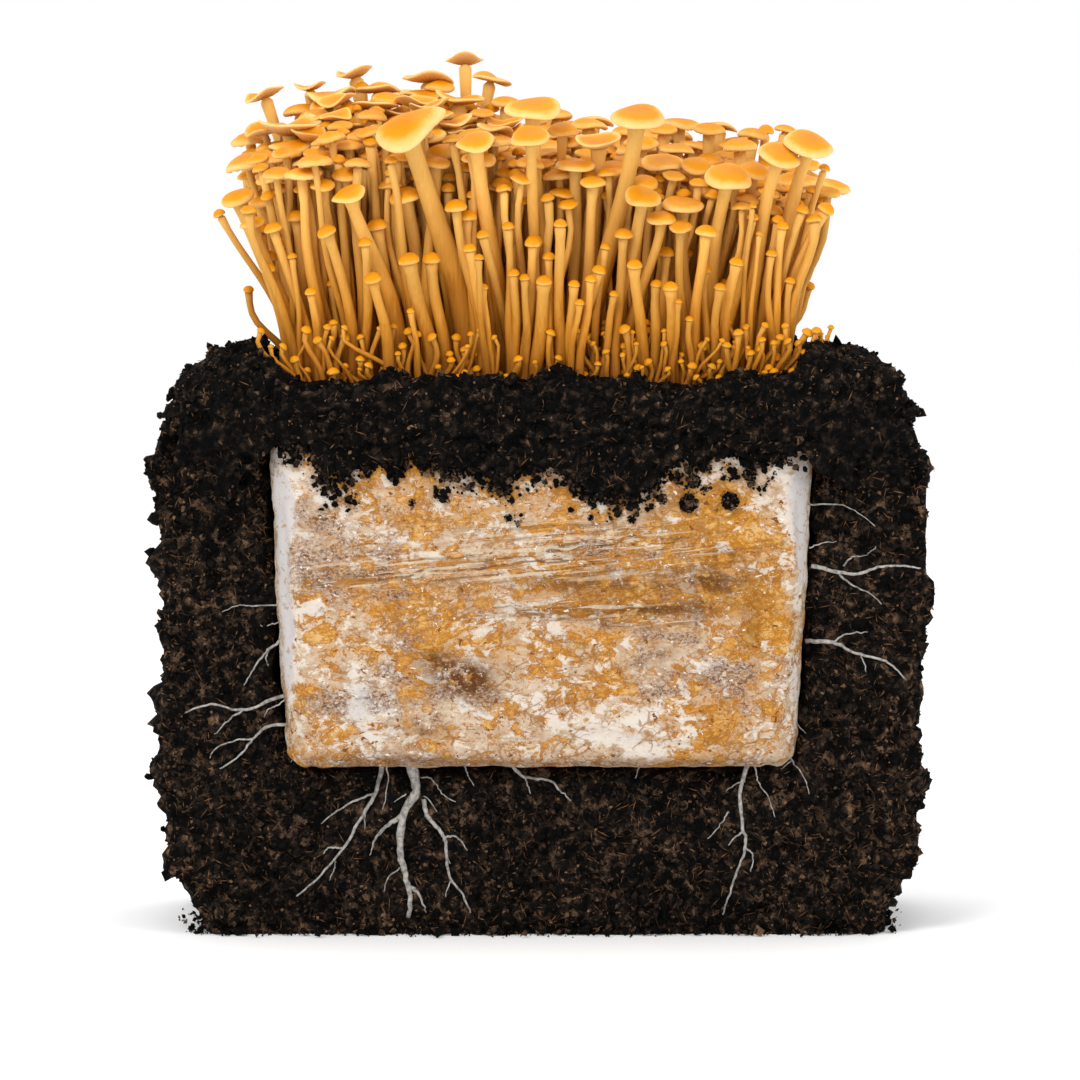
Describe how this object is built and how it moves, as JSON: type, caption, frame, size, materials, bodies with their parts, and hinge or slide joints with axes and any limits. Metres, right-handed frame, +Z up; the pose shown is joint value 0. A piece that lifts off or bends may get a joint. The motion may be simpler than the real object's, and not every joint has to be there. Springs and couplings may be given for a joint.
{
  "type": "enoki mushroom grow block",
  "caption": "Golden enoki mushrooms in clumps on a colonised sawdust block, bedded in soil that is cut away in front to show the block and its mycelium strands.",
  "frame": {"origin": "centre of the object's box, on the flat cut underside of the soil", "axes": "+Z up along the stems, +X to the viewer's right, -Y out of the cut face that shows the block"},
  "size_m": [0.2945, 0.1551, 0.3234],
  "materials": {
    "soil": "loose dark potting soil, dull",
    "sawdust_block": "sawdust grown through with white mycelium, moulded by its bag, dull to faintly waxy",
    "enoki": "golden mushroom flesh, satin caps and fibrous stems",
    "mycelium": "matted pale threads, dull"
  },
  "bodies": {
    "root": {"soil_bed": "soil", "soil_cover": "soil", "grow_block": "sawdust_block", "enoki_clump_01": "enoki", "enoki_clump_02": "enoki", "enoki_clump_03": "enoki", "enoki_clump_04": "enoki", "enoki_clump_05": "enoki", "enoki_clump_06": "enoki", "enoki_clump_07": "enoki", "enoki_clump_08": "enoki", "enoki_clump_09": "enoki", "enoki_clump_10": "enoki", "enoki_clump_11": "enoki", "enoki_clump_12": "enoki", "enoki_clump_13": "enoki", "enoki_clump_14": "enoki", "enoki_clump_15": "enoki", "enoki_clump_16": "enoki", "enoki_clump_17": "enoki", "enoki_clump_18": "enoki", "enoki_clump_19": "enoki", "enoki_clump_20": "enoki", "enoki_clump_21": "enoki", "enoki_clump_22": "enoki", "enoki_clump_23": "enoki", "enoki_clump_24": "enoki", "enoki_clump_25": "enoki", "enoki_clump_26": "enoki", "enoki_clump_27": "enoki", "enoki_clump_28": "enoki", "enoki_clump_29": "enoki", "enoki_clump_30": "enoki", "enoki_clump_31": "enoki", "enoki_clump_32": "enoki", "enoki_clump_33": "enoki", "enoki_clump_34": "enoki", "enoki_clump_35": "enoki", "enoki_clump_36": "enoki", "enoki_clump_37": "enoki", "enoki_clump_38": "enoki", "enoki_clump_39": "enoki", "enoki_clump_40": "enoki", "enoki_clump_41": "enoki", "enoki_clump_42": "enoki", "enoki_clump_43": "enoki", "enoki_clump_44": "enoki", "enoki_clump_45": "enoki", "enoki_clump_46": "enoki", "enoki_clump_47": "enoki", "strand_left_upper": "mycelium", "strand_left_middle": "mycelium", "strand_left_lower": "mycelium", "strand_under_left": "mycelium", "strand_trunk": "mycelium", "strand_trunk_fork": "mycelium", "strand_under_middle": "mycelium", "strand_under_right": "mycelium", "strand_right_upper": "mycelium", "strand_right_lower": "mycelium"}
  },
  "joints": []
}
